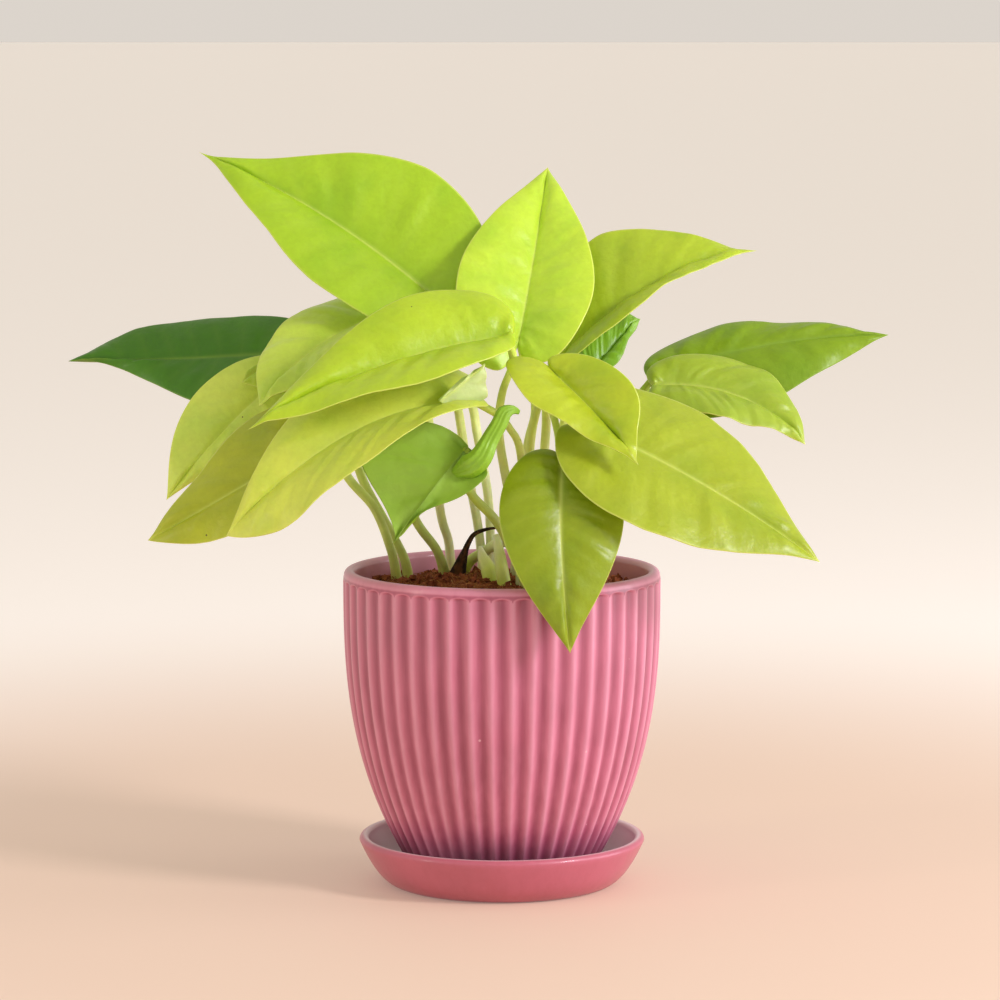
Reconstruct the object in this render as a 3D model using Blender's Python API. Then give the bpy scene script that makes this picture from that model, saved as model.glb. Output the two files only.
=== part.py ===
"""A pothos growing in a ribbed, glazed stoneware pot that stands in its own saucer.

Metres, +Z up. The origin is the middle of the saucer's underside.
The plant is a clump of separate rooted shoots: every blade and every leaf stalk is its own solid.
"""

import math

import bpy
from mathutils import Quaternion, Vector

# Clearance kept between pieces that touch in the real thing
GAP = 0.0003

# Pot: the ribs go right round the wall and stop below a plain band under the rim. The belly power
# says how early the wall turns upright on its way from the foot.
POT_HEIGHT = 0.1112
POT_BELLY_RADIUS = 0.0583
POT_FOOT_RADIUS = 0.0334
POT_FOOT_ROUNDING = 0.0015
POT_RIM_TUCK = 0.0010
POT_WALL = 0.0043
POT_FLOOR = 0.0055
POT_FLOOR_ROUNDING = 0.0030
RIB_COUNT = 48
RIB_DEPTH = 0.0010
RIB_BAND = 0.0045
RIB_END = 0.0010
DRAIN_RADIUS = 0.0050
BELLY_POWER = 2.72

# Saucer: its flat bottom and its rim are both set out from the foot of the pot that it holds
SAUCER_HEIGHT = 0.0177
SAUCER_WALL = 0.0036
SAUCER_FLOOR = 0.0050
SAUCER_FOOT_MARGIN = 0.0061
SAUCER_FLARE = 0.0131
SAUCER_CURVE = 1.5
SAUCER_FOOT_RADIUS = POT_FOOT_RADIUS + SAUCER_FOOT_MARGIN
SAUCER_RADIUS = SAUCER_FOOT_RADIUS + SAUCER_FLARE
SAUCER_COLUMNS = 48

# Soil
SOIL_CLEARANCE = 0.0008
SOIL_BOTTOM_ROUNDING = 0.003
SOIL_BELOW_RIM = 0.0085
SOIL_MOUND = 0.0050
SOIL_MOUND_SPREAD = 0.030
SOIL_MOUND_MIDDLE = (-0.008, -0.002)
SOIL_COLUMNS = 40

# Plant
BLADE_THICKNESS = 0.0006
STALK_RADIUS = 0.0017
STALK_TOP_RADIUS = 0.0012
STALK_SETBACK = 0.0010
STALK_SIDES = 7
SHOOT_SIDES = 8
TUBE_STATIONS = 10
# Share of its radius by which a stalk's slanting end is raised to stay clear of the soil
FOOT_LIFT = 0.75

# Half of a blade's outline: the notch at the stalk, the round lobe and the long side to the tip
NOTCH_END = 0.18
LOBE_END = 0.55
LOBE_WIDTH = 0.25
BLADE_STEPS = (0.0, 0.09, 0.18, 0.30, 0.42, 0.55, 0.66, 0.77, 0.88, 1.0)
BLADE_ACROSS = (0.55, 1.0)
# How the side veins leave the midrib: near the base they start close together and lean forward
VEIN_START = 0.12
VEIN_LEAN = 1.3

# Where the levels fall
POT_BASE = SAUCER_FLOOR + GAP
POT_TOP = POT_BASE + POT_HEIGHT
SOIL_LEVEL = POT_TOP - SOIL_BELOW_RIM

# The plant's places are set out in millimetres from the middle of the soil, for a pot of this
# belly radius, and spread out or draw in with the pot that holds it
PLANT_POT_RADIUS = 0.0583
PLANT_SPREAD = POT_BELLY_RADIUS / PLANT_POT_RADIUS

# Blades, in millimetres: where the stalk joins, the middle of the midrib, the tip, and the widest
# place of the left and right edges, seen from above with the tip ahead. lobes says how far each
# side reaches back past the stalk, wide where the blade is widest, full how far each side stays
# wide towards the tip, sharp how hollow its last stretch is, and twist how many degrees the blade
# turns about its midrib from base to tip.
BLADES = {
    "top_left": dict(
        points=((-25, 2, 108), (-67, 14, 138), (-112, 26, 160), (-62, -12, 110), (-25, 20, 153)),
        full=(2.1, 1.7),
        sharp=(1.5, 2.0),
    ),
    "top_centre": dict(
        points=((6, -16, 93), (12, 8, 124), (17, 36, 154), (-16, -8, 118), (33, -10, 111)),
        lobes=(0.18, 0.10),
    ),
    "top_right": dict(
        points=((24, 10, 87), (58, 12, 113), (94, 18, 124), (36, 26, 129), (40, -6, 98)),
        full=(1.4, 1.8),
        sharp=(1.5, 1.15),
    ),
    "dark_left": dict(
        points=((-79, 36, 85), (-126, 40, 82), (-163, 44, 81), (-108, 24, 66), (-102, 52, 97)),
        full=(1.5, 3.2),
        sharp=(3.1, 1.2),
    ),
    "dark_back": dict(
        points=((31, 30, 75), (41, 36, 86), (52, 44, 97), (34, 44, 98), (39, 26, 77)),
    ),
    "dark_right": dict(
        points=((55, 22, 77), (97, 28, 88), (144, 30, 92), (79, 38, 94), (86, 12, 64)),
        lobes=(0.02, 0.02),
    ),
    "pale_left": dict(
        points=((-78, 12, 80), (-100, 0, 61), (-122, -12, 35), (-77, 4, 63), (-111, 4, 74)),
    ),
    "small_left": dict(
        points=((-37, 9, 103), (-65, -12, 92), (-87, -30, 71), (-50, -24, 91), (-70, 9, 104)),
        lobes=(0.04, 0.04),
        full=(1.8, 2.6),
    ),
    "hidden_left": dict(
        points=((-63, 16, 93), (-80, 8, 86), (-95, -2, 77), (-74, 2, 76), (-78, 14, 89)),
    ),
    "front_left": dict(
        points=((3, -34, 96), (-42, -50, 87), (-89, -66, 66), (-22, -68, 85), (-28, -30, 112)),
        lobes=(0.02, 0.02),
        sharp=(1.15, 1.5),
    ),
    "low_left": dict(
        points=((-37, -24, 78), (-82, -34, 49), (-127, -34, 23), (-66, -46, 43), (-88, -14, 67)),
        wide=0.45,
        full=(3.0, 1.5),
        sharp=(1.0, 1.1),
        twist=-20,
    ),
    "low_front": dict(
        points=((-8, -44, 74), (-53, -57, 64), (-97, -61, 28), (-42, -75, 60), (-39, -33, 89)),
        lobes=(0.05, 0.02),
        full=(3.4, 2.0),
        sharp=(1.0, 1.2),
        twist=-45,
    ),
    "curled_young": dict(
        points=((-16, -49, 56), (-28, -53, 41), (-39, -55, 24), (-8, -64, 44), (-49, -55, 52)),
        lobes=(0.46, 0.29),
        sharp=(2.0, 1.6),
    ),
    "centre": dict(
        points=((18, -38, 84), (34, -48, 69), (48, -60, 53), (45, -48, 82), (9, -54, 76)),
        lobes=(0.12, 0.22),
        sharp=(1.6, 1.15),
    ),
    "large_right": dict(
        points=((32, -40, 64), (72, -44, 44), (113, -48, 17), (72, -18, 68), (42, -66, 34)),
        lobes=(0.20, 0.14),
        wide=0.24,
        full=(1.5, 1.9),
    ),
    "front_hanging": dict(
        points=((21, -46, 52), (21, -63, 23), (24, -66, -13), (43, -56, 34), (-1, -58, 36)),
        wide=0.25,
    ),
    "small_right": dict(
        points=((56, 8, 75), (87, 6, 71), (111, 0, 54), (89, 18, 83), (79, -8, 65)),
        lobes=(0.02, 0.02),
        wide=0.50,
        full=(2.4, 1.8),
    ),
}

# Leaf stalks, in millimetres: the places that each passes from its blade down to the soil
STALKS = {
    "top_left": ((-20, 2, 85), (-16, 6, 66), (-13, 12, 45), (-9, 22, 22), (-7, 28, 5)),
    "top_centre": ((10, -10, 79), (12, -8, 67), (9, 0, 51), (5, 16, 6)),
    "top_right": ((23, 14, 62), (19, 18, 32), (16, 24, 5)),
    "dark_left": ((-58, 24, 53), (-51, 22, 37), (-44, 22, 24), (-37, 26, 10), (-35, 28, 4)),
    "dark_back": ((27, 30, 53), (23, 32, 30), (20, 34, 3)),
    "dark_right": ((45, 22, 61), (31, 24, 31), (23, 26, 4)),
    "pale_left": ((-65, 12, 58), (-57, 12, 41), (-47, 12, 29), (-41, 15, 13), (-39, 18, 2)),
    "small_left": ((-28, 0, 70), (-23, 20, 28), (-20, 29, 15), (-19, 34, 4)),
    "hidden_left": ((-30, 16, 90), (-13, 19, 71), (-9, 20, 55), (-5, 22, 31), (-4, 26, 5)),
    "front_left": ((4, -29, 87), (0, -27, 75), (-1, -24, 60), (3, -18, 35), (7, -10, 6)),
    "low_left": ((-38, -16, 50), (-32, -6, 28), (-24, 2, 15), (-21, 10, 4)),
    "low_front": ((-2, -38, 69), (3, -32, 63), (7, -24, 52), (10, -4, 6)),
    "curled_young": ((-14, -43, 47), (-10, -38, 39), (-1, -31, 28), (9, -18, 6)),
    "centre": ((15, -27, 75), (12, -18, 66), (10, -10, 52), (7, 10, 6)),
    "large_right": ((28, -26, 58), (23, -12, 42), (14, 8, 6)),
    "front_hanging": ((20, -36, 61), (18, -28, 69), (16, -20, 72), (16, -8, 60), (14, 4, 33), (11, 18, 5)),
    "small_right": ((41, 10, 60), (28, 10, 32), (19, 14, 5)),
}

# The other growth at the soil, in millimetres: its route, its radii along it, and how flat it is
SHOOTS = {
    "vine_stem": dict(
        route=((-16, 16, 6), (-12, 14, 9), (-7, 10, 13), (-1, 6, 17), (6, 1, 20)),
        radii=(2.4, 2.0, 1.8, 2.2, 1.8),
    ),
    "dried_sheath": dict(
        route=((-17, 8, 6), (-14, 5, 13), (-12, 3, 18), (-10, 1, 21), (-6, -2, 23), (-2, -5, 24)),
        radii=(3.6, 2.4, 1.2, 0.9, 0.8, 0.5),
        flatness=0.5,
    ),
    "rooted_cutting": dict(
        route=((1, -14, 4), (0, -13, 10), (-1, -11, 16), (-2, -9, 22)),
        radii=(2.0, 1.9, 1.6, 0.8),
    ),
    "green_bract": dict(
        route=((-4, -8, 5), (-5, -6, 9), (-7, -4, 13), (-8, -3, 17)),
        radii=(2.2, 2.6, 1.8, 0.5),
        flatness=0.5,
    ),
}


def clear_scene():
    for item in list(bpy.data.objects):
        bpy.data.objects.remove(item, do_unlink=True)


def make_material(name, colour, roughness):
    material = bpy.data.materials.new(name)
    material.use_nodes = True
    surface = material.node_tree.nodes["Principled BSDF"]
    surface.inputs["Base Color"].default_value = (*colour, 1.0)
    surface.inputs["Roughness"].default_value = roughness
    surface.inputs["Metallic"].default_value = 0.0
    return material


def add_object(name, points, faces, material):
    mesh = bpy.data.meshes.new(name)
    mesh.from_pydata([tuple(point) for point in points], [], faces)
    mesh.shade_smooth()
    mesh.materials.append(material)
    piece = bpy.data.objects.new(name, mesh)
    bpy.context.scene.collection.objects.link(piece)
    return piece


def add_turned(name, rings, columns, material):
    """Join rings of points, each a function of the angle, into one closed ring-shaped solid."""
    points = []
    for ring in rings:
        for column in range(columns):
            points.append(ring(2 * math.pi * column / columns))
    faces = []
    for row in range(len(rings)):
        after = (row + 1) % len(rings)
        for column in range(columns):
            beside = (column + 1) % columns
            faces.append((
                row * columns + column,
                row * columns + beside,
                after * columns + beside,
                after * columns + column,
            ))
    return add_object(name, points, faces, material)


def add_capped(name, rings, columns, material):
    """Join rings of points into a solid that the first and last rings close with flat fans."""
    points = []
    for ring in rings:
        for column in range(columns):
            points.append(ring(2 * math.pi * column / columns))
    faces = []
    for row in range(len(rings) - 1):
        for column in range(columns):
            beside = (column + 1) % columns
            faces.append((
                row * columns + column,
                row * columns + beside,
                (row + 1) * columns + beside,
                (row + 1) * columns + column,
            ))
    faces.append(tuple(reversed(range(columns))))
    last = (len(rings) - 1) * columns
    faces.append(tuple(range(last, last + columns)))
    return add_object(name, points, faces, material)


def level_ring(radius, height):
    return lambda angle: Vector((radius * math.cos(angle), radius * math.sin(angle), height))


def add_saucer(material):
    rise = SAUCER_HEIGHT - SAUCER_WALL / 2
    rings = [level_ring(SAUCER_FOOT_RADIUS * 0.5, 0.0), level_ring(SAUCER_FOOT_RADIUS, 0.0)]
    for step in range(1, 6):
        share = step / 5
        radius = SAUCER_FOOT_RADIUS + SAUCER_FLARE * share
        rings.append(level_ring(radius, rise * share ** SAUCER_CURVE))
    for step in range(1, 4):
        turn = step / 4 * math.pi
        middle = SAUCER_RADIUS - SAUCER_WALL / 2
        half = SAUCER_WALL / 2
        rings.append(level_ring(middle + half * math.cos(turn), rise + half * math.sin(turn)))
    inner = SAUCER_RADIUS - SAUCER_WALL
    for step in range(5, -1, -1):
        share = step / 5
        radius = SAUCER_FOOT_RADIUS + (inner - SAUCER_FOOT_RADIUS) * share
        height = SAUCER_FLOOR + (rise - SAUCER_FLOOR) * share ** SAUCER_CURVE
        rings.append(level_ring(radius, height))
    rings.append(level_ring(SAUCER_FOOT_RADIUS * 0.5, SAUCER_FLOOR))
    return add_capped("saucer", rings, SAUCER_COLUMNS, material)


def pot_radius(height):
    """Outer radius of the pot, over the ridges, at a height above its base."""
    share = min(height / (POT_HEIGHT - RIB_BAND), 1.0)
    swell = POT_BELLY_RADIUS - POT_FOOT_RADIUS
    radius = POT_FOOT_RADIUS + swell * (1 - (1 - share) ** BELLY_POWER)
    above = max(height - (POT_HEIGHT - RIB_BAND), 0.0) / RIB_BAND
    return radius - POT_RIM_TUCK * above ** 2


def ribbed_ring(height, depth):
    radius = pot_radius(height)

    def ring(angle):
        valley = 0.5 - 0.5 * math.cos(RIB_COUNT * angle)
        reach = radius - depth * valley
        return Vector((reach * math.cos(angle), reach * math.sin(angle), POT_BASE + height))

    return ring


def inner_radius(height):
    return pot_radius(height) - POT_WALL


def add_pot(material):
    band = POT_HEIGHT - RIB_BAND
    flat_foot = POT_FOOT_RADIUS - POT_FOOT_ROUNDING
    rings = [level_ring(DRAIN_RADIUS, POT_BASE), level_ring(flat_foot, POT_BASE)]
    rings.append(ribbed_ring(POT_FOOT_ROUNDING, 0.0))
    for share in (0.05, 0.13, 0.23, 0.35, 0.49, 0.65, 0.82, 0.98):
        rings.append(ribbed_ring(band * share, RIB_DEPTH))
    rings.append(ribbed_ring(band + RIB_END, 0.0))
    lip = POT_WALL / 2
    middle = pot_radius(POT_HEIGHT - lip) - lip
    for step in range(5):
        turn = step / 4 * math.pi
        height = POT_TOP - lip + lip * math.sin(turn)
        rings.append(level_ring(middle + lip * math.cos(turn), height))
    for share in (0.80, 0.55, 0.33, 0.16, 0.08):
        height = POT_HEIGHT * share
        rings.append(level_ring(inner_radius(height), POT_BASE + height))
    flat_floor = inner_radius(POT_FLOOR) - POT_FLOOR_ROUNDING
    rings.append(level_ring(flat_floor, POT_BASE + POT_FLOOR))
    rings.append(level_ring(DRAIN_RADIUS, POT_BASE + POT_FLOOR))
    return add_turned("pot", rings, 2 * RIB_COUNT, material)


def soil_height(x, y):
    """Height of the soil's top above the table: level at the wall, heaped near the middle."""
    middle = Vector(SOIL_MOUND_MIDDLE) * PLANT_SPREAD
    away = math.hypot(x - middle.x, y - middle.y) / (SOIL_MOUND_SPREAD * PLANT_SPREAD)
    return SOIL_LEVEL + SOIL_MOUND * math.exp(-away * away)


def add_soil(material):
    def top_ring(radius):
        def ring(angle):
            x = radius * math.cos(angle)
            y = radius * math.sin(angle)
            return Vector((x, y, soil_height(x, y)))
        return ring

    top = SOIL_LEVEL - POT_BASE
    bottom = inner_radius(POT_FLOOR) - POT_FLOOR_ROUNDING - SOIL_BOTTOM_ROUNDING
    rings = [level_ring(bottom, POT_BASE + POT_FLOOR + GAP)]
    for share in (0.12, 0.25, 0.42, 0.65, 0.92):
        height = top * share
        rings.append(level_ring(inner_radius(height) - SOIL_CLEARANCE, POT_BASE + height))
    edge = inner_radius(top) - SOIL_CLEARANCE
    for share in (1.0, 0.85, 0.68, 0.50, 0.32, 0.15, 0.04):
        rings.append(top_ring(edge * share))
    return add_capped("soil", rings, SOIL_COLUMNS, material)


def plant_point(place):
    """A place of the plant, given in millimetres from the middle of the soil, in metres."""
    x, y, z = place
    return Vector((x * PLANT_SPREAD, y * PLANT_SPREAD, z)) / 1000 + Vector((0, 0, SOIL_LEVEL))


def smooth_route(places, count):
    """Points evenly spaced along a smooth curve through the places."""
    chain = [places[0] * 2 - places[1], *places, places[-1] * 2 - places[-2]]
    dense = []
    for index in range(1, len(chain) - 2):
        before, start, end, after = chain[index - 1:index + 3]
        for step in range(12):
            t = step / 12
            dense.append(0.5 * (
                2 * start
                + (end - before) * t
                + (2 * before - 5 * start + 4 * end - after) * t ** 2
                + (3 * start - before - 3 * end + after) * t ** 3
            ))
    dense.append(places[-1])
    lengths = [0.0]
    for start, end in zip(dense, dense[1:]):
        lengths.append(lengths[-1] + (end - start).length)
    route = []
    for step in range(count):
        target = lengths[-1] * step / (count - 1)
        index = max(i for i, length in enumerate(lengths[:-1]) if length <= target)
        span = lengths[index + 1] - lengths[index]
        share = (target - lengths[index]) / span if span else 0.0
        route.append(dense[index].lerp(dense[index + 1], share))
    return route


def add_tube(name, route, radii, sides, material, flatness=1.0):
    """A round or flattened solid along a route, with the radius read off evenly along it."""
    points = []
    sideways = None
    for index, place in enumerate(route):
        ahead = route[min(index + 1, len(route) - 1)]
        behind = route[max(index - 1, 0)]
        along = (ahead - behind).normalized()
        if sideways is None:
            sideways = along.orthogonal().normalized()
        sideways = (sideways - along * sideways.dot(along)).normalized()
        upwards = along.cross(sideways)
        spot = index / (len(route) - 1) * (len(radii) - 1)
        low = min(int(spot), len(radii) - 2)
        radius = radii[low] + (radii[low + 1] - radii[low]) * (spot - low)
        for side in range(sides):
            angle = 2 * math.pi * side / sides
            points.append(
                place
                + sideways * radius * math.cos(angle)
                + upwards * radius * flatness * math.sin(angle)
            )
    faces = []
    for row in range(len(route) - 1):
        for side in range(sides):
            beside = (side + 1) % sides
            faces.append((
                row * sides + side,
                row * sides + beside,
                (row + 1) * sides + beside,
                (row + 1) * sides + side,
            ))
    faces.append(tuple(reversed(range(sides))))
    last = (len(route) - 1) * sides
    faces.append(tuple(range(last, last + sides)))
    return add_object(name, points, faces, material)


def half_outline(step, lobe, wide, full, sharp):
    """Place of an edge point, along and across the midrib as shares of length and half width."""
    if step < NOTCH_END:
        turn = step / NOTCH_END * math.pi / 2
        return -lobe * math.sin(turn), LOBE_WIDTH * (1 - math.cos(turn))
    if step < LOBE_END:
        turn = (step - NOTCH_END) / (LOBE_END - NOTCH_END) * math.pi / 2
        return wide - (wide + lobe) * math.cos(turn), LOBE_WIDTH + (1 - LOBE_WIDTH) * math.sin(turn)
    share = (step - LOBE_END) / (1 - LOBE_END)
    return wide + (1 - wide) * share, max(1 - share ** full, 0.0) ** sharp


class Blade:
    """The sheet that a leaf's blade follows: a bent midrib with a half blade on each side."""

    def __init__(
        self,
        points,
        lobes=(0.10, 0.10),
        wide=0.30,
        full=(1.8, 1.8),
        sharp=(1.15, 1.15),
        twist=0.0,
    ):
        self.base, self.middle, self.tip, left, right = [plant_point(place) for place in points]
        self.lobes = lobes
        self.wide = wide
        self.full = full
        self.sharp = sharp
        self.twist = math.radians(twist)
        self.sides = (left - self.midrib(wide), right - self.midrib(wide))

    def midrib(self, x):
        return (
            self.base * (2 * (x - 0.5) * (x - 1))
            + self.middle * (4 * x * (1 - x))
            + self.tip * (2 * x * (x - 0.5))
        )

    def along(self, x):
        slope = self.base * (4 * x - 3) + self.middle * (4 - 8 * x) + self.tip * (4 * x - 1)
        return slope.normalized()

    def point(self, step, across, side):
        edge_x, edge_y = half_outline(
            step, self.lobes[side], self.wide, self.full[side], self.sharp[side]
        )
        rib_x = VEIN_START * step + (1 - VEIN_START) * step ** 3
        x = rib_x + (edge_x - rib_x) * across ** VEIN_LEAN
        along = self.along(x)
        turn = self.along(self.wide).rotation_difference(along)
        turn = Quaternion(along, self.twist * (x - self.wide)) @ turn
        outward = turn @ self.sides[side]
        return self.midrib(x) + outward * (edge_y * across)


def add_blade(name, blade, material):
    """A closed thin solid that follows the blade's sheet."""
    columns = [(1, across) for across in reversed(BLADE_ACROSS)] + [(0, 0.0)]
    columns += [(0, across) for across in BLADE_ACROSS]
    width = len(columns)
    points = [blade.midrib(0.0)]
    for step in BLADE_STEPS[1:-1]:
        for side, across in columns:
            points.append(blade.point(step, across, side))
    points.append(blade.midrib(1.0))
    tip = len(points) - 1
    faces = []
    for column in range(width - 1):
        faces.append((0, 1 + column, 2 + column))
        faces.append((tip, tip - width + column + 1, tip - width + column))
    for row in range(len(BLADE_STEPS) - 3):
        first = 1 + row * width
        for column in range(width - 1):
            corner = first + column
            faces.append((corner, corner + width, corner + width + 1, corner + 1))
    piece = add_object(name, points, faces, material)
    solid = piece.modifiers.new("thickness", "SOLIDIFY")
    solid.thickness = BLADE_THICKNESS
    solid.offset = 0.0
    return piece


def add_stalk(name, blade, places, material):
    """A leaf stalk from just under its blade's notch down to just above the soil."""
    along = blade.along(0.0)
    upward = along.cross(blade.sides[0]).normalized()
    top = blade.base - upward * (STALK_TOP_RADIUS + BLADE_THICKNESS + 2 * GAP)
    stops = [top - along * STALK_SETBACK, *(plant_point(place) for place in places)]
    foot = stops[-1]
    foot.z = soil_height(foot.x, foot.y) + STALK_RADIUS * FOOT_LIFT + GAP
    above = stops[-2]
    # The stalk comes out of the soil nearly upright before it leans over
    stops.insert(-1, Vector((
        foot.x + (above.x - foot.x) * 0.12,
        foot.y + (above.y - foot.y) * 0.12,
        foot.z + (above.z - foot.z) * 0.2,
    )))
    route = smooth_route(stops, TUBE_STATIONS)
    radii = (STALK_TOP_RADIUS, STALK_RADIUS, STALK_RADIUS)
    return add_tube(name, route, radii, STALK_SIDES, material)


def add_shoot(name, route, radii, material, flatness=1.0):
    """A shoot, sheath or stem end that stands on the soil with no blade of its own."""
    stops = [plant_point(place) for place in route]
    widest = radii[0] / 1000
    stops[0].z = soil_height(stops[0].x, stops[0].y) + widest * FOOT_LIFT + GAP
    sizes = [radius / 1000 for radius in radii]
    route = smooth_route(stops, TUBE_STATIONS)
    return add_tube(name, route, sizes, SHOOT_SIDES, material, flatness)


def build():
    clear_scene()
    glaze = make_material("pink_glaze", (0.48, 0.12, 0.19), 0.28)
    saucer_glaze = make_material("mauve_saucer_glaze", (0.42, 0.12, 0.18), 0.35)
    soil = make_material("coir_soil", (0.10, 0.04, 0.02), 0.95)
    lime = make_material("lime_leaf", (0.38, 0.56, 0.05), 0.35)
    green = make_material("dark_leaf", (0.07, 0.22, 0.02), 0.30)
    stalk = make_material("pale_stalk", (0.46, 0.52, 0.16), 0.45)
    dry = make_material("dried_sheath", (0.02, 0.015, 0.01), 0.7)

    add_saucer(saucer_glaze)
    add_pot(glaze)
    add_soil(soil)
    dark = ("dark_left", "dark_back", "dark_right", "curled_young")
    for name, sizes in BLADES.items():
        blade = Blade(**sizes)
        add_blade(f"blade_{name}", blade, green if name in dark else lime)
        add_stalk(f"stalk_{name}", blade, STALKS[name], stalk)
    for name, sizes in SHOOTS.items():
        add_shoot(name, material=dry if name == "dried_sheath" else stalk, **sizes)


build()
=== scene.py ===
import functools
import itertools
import math
import random

import bpy
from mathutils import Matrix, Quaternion, Vector, noise


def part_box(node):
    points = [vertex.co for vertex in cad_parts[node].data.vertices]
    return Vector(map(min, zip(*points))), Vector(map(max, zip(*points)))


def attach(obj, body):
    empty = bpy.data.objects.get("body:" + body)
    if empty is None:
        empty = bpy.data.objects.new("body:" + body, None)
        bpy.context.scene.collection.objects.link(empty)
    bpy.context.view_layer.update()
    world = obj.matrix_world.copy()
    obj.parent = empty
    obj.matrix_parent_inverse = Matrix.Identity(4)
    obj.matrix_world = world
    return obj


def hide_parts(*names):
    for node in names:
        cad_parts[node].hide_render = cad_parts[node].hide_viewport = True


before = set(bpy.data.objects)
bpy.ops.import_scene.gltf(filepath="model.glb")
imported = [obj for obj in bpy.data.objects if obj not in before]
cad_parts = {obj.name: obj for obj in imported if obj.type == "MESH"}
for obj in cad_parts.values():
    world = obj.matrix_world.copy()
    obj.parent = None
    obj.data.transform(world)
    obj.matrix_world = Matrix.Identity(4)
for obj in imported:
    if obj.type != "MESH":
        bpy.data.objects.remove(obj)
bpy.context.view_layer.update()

# Places shared by the pieces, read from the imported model, in metres
potLow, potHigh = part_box("pot")
_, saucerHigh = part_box("saucer")
potRadius = potHigh.x
soilBelowRim = 0.0085
soilLevel = potHigh.z - soilBelowRim


def linear(hexColour):
    values = [int(hexColour[start:start + 2], 16) / 255 for start in (1, 3, 5)]
    return tuple(v / 12.92 if v <= 0.04045 else ((v + 0.055) / 1.055) ** 2.4 for v in values) + (1.0,)


def addNode(tree, kind, inputs=None, stops=None, **settings):
    made = tree.nodes.new(kind)
    for key, value in settings.items():
        setattr(made, key, value)
    if stops:  # colour ramp stops, as (position, colour)
        ramp = made.color_ramp
        while len(ramp.elements) < len(stops):
            ramp.elements.new(0.5)
        for element, (position, colour) in zip(ramp.elements, stops):
            element.position = position
            element.color = colour
    for key, value in (inputs or {}).items():
        if isinstance(value, bpy.types.NodeSocket):
            tree.links.new(value, made.inputs[key])
        else:
            made.inputs[key].default_value = value
    return made


def newMaterial(name, roughness, **constants):
    material = bpy.data.materials.new(name)
    material.use_nodes = True
    surface = material.node_tree.nodes["Principled BSDF"]
    surface.inputs["Roughness"].default_value = roughness
    for key, value in constants.items():
        surface.inputs[key.replace("_", " ")].default_value = value
    return material, material.node_tree, surface


# Short names for the shader nodes that the materials share; each gives the node's result

def objectPlace(tree):
    return addNode(tree, "ShaderNodeTexCoord").outputs["Object"]


def readField(tree, name):
    return addNode(tree, "ShaderNodeAttribute", attribute_name=name).outputs["Fac"]


def maths(tree, operation, *values):
    return addNode(tree, "ShaderNodeMath", dict(enumerate(values)), operation=operation).outputs[0]


def blend(tree, share, first, second, kind="MIX"):
    inputs = {0: share, 6: first, 7: second}
    return addNode(tree, "ShaderNodeMix", inputs, data_type="RGBA", blend_type=kind).outputs[2]


def colourRamp(tree, share, stops):
    return addNode(tree, "ShaderNodeValToRGB", {"Fac": share}, stops=stops).outputs["Color"]


def spread(tree, value, start, end, low, high, shape="LINEAR"):
    # start to end becomes low to high
    inputs = {"Value": value, "From Min": start, "From Max": end, "To Min": low, "To Max": high}
    return addNode(tree, "ShaderNodeMapRange", inputs, interpolation_type=shape).outputs[0]


def cloudy(tree, place, scale, detail, roughness=0.5):
    inputs = {"Vector": place, "Scale": scale, "Detail": detail, "Roughness": roughness}
    return addNode(tree, "ShaderNodeTexNoise", inputs).outputs["Fac"]


def specks(tree, place, scale, cutOff):
    # the distance to the nearest spot's middle, and 1 for the few spots above the cut-off
    cells = addNode(tree, "ShaderNodeTexVoronoi", {"Vector": place, "Scale": scale, "Randomness": 1.0})
    lot = addNode(tree, "ShaderNodeSeparateColor", {0: cells.outputs["Color"]}).outputs[0]
    return cells.outputs["Distance"], maths(tree, "GREATER_THAN", lot, cutOff)


def bump(tree, height, strength, distance, **below):
    inputs = {"Height": height, "Strength": strength, "Distance": distance, **below}
    return addNode(tree, "ShaderNodeBump", inputs).outputs[0]


def joinSurface(tree, surface, **results):
    for key, result in results.items():
        tree.links.new(result, surface.inputs[key.replace("_", " ")])


def addPiece(name, points, faces, material, nodes=(), fields=None, smooth=True):
    # fields are one number for each point, which the material reads by name
    mesh = bpy.data.meshes.new(name)
    mesh.from_pydata([tuple(point) for point in points], [], faces)
    if smooth:
        mesh.shade_smooth()
    mesh.materials.append(material)
    for key, values in (fields or {}).items():
        layer = mesh.attributes.new(key, "FLOAT", "POINT")
        layer.data.foreach_set("value", values)
    piece = bpy.data.objects.new(name, mesh)
    bpy.context.scene.collection.objects.link(piece)
    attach(piece, "root")
    if nodes:
        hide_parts(*nodes)
    return piece


def ringFaces(rows, columns, closed):
    # quads between rings of points; closed joins the last ring to the first
    faces = []
    for row in range(rows if closed else rows - 1):
        after = (row + 1) % rows
        for column in range(columns):
            beside = (column + 1) % columns
            faces.append((row * columns + column, row * columns + beside,
                          after * columns + beside, after * columns + column))
    return faces


def onRing(radius, angle, height):
    return (radius * math.cos(angle), radius * math.sin(angle), height)


def smoothStep(low, high, value):
    share = min(max((value - low) / (high - low), 0.0), 1.0)
    return share * share * (3 - 2 * share)


# Camera and light

camera = dict(place=(-0.0007, -1.5, 0.316), pitch=6.63, lens=148.36, sensor=36.0)

view = bpy.data.cameras.new("camera")
view.lens = camera["lens"]
view.sensor_width = camera["sensor"]
view.clip_start = 0.05
viewObject = bpy.data.objects.new("camera", view)
viewObject.location = camera["place"]
viewObject.rotation_euler = (math.radians(90 - camera["pitch"]), 0, 0)
bpy.context.scene.collection.objects.link(viewObject)
bpy.context.scene.camera = viewObject
bpy.context.scene.view_settings.view_transform = "Standard"

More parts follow.
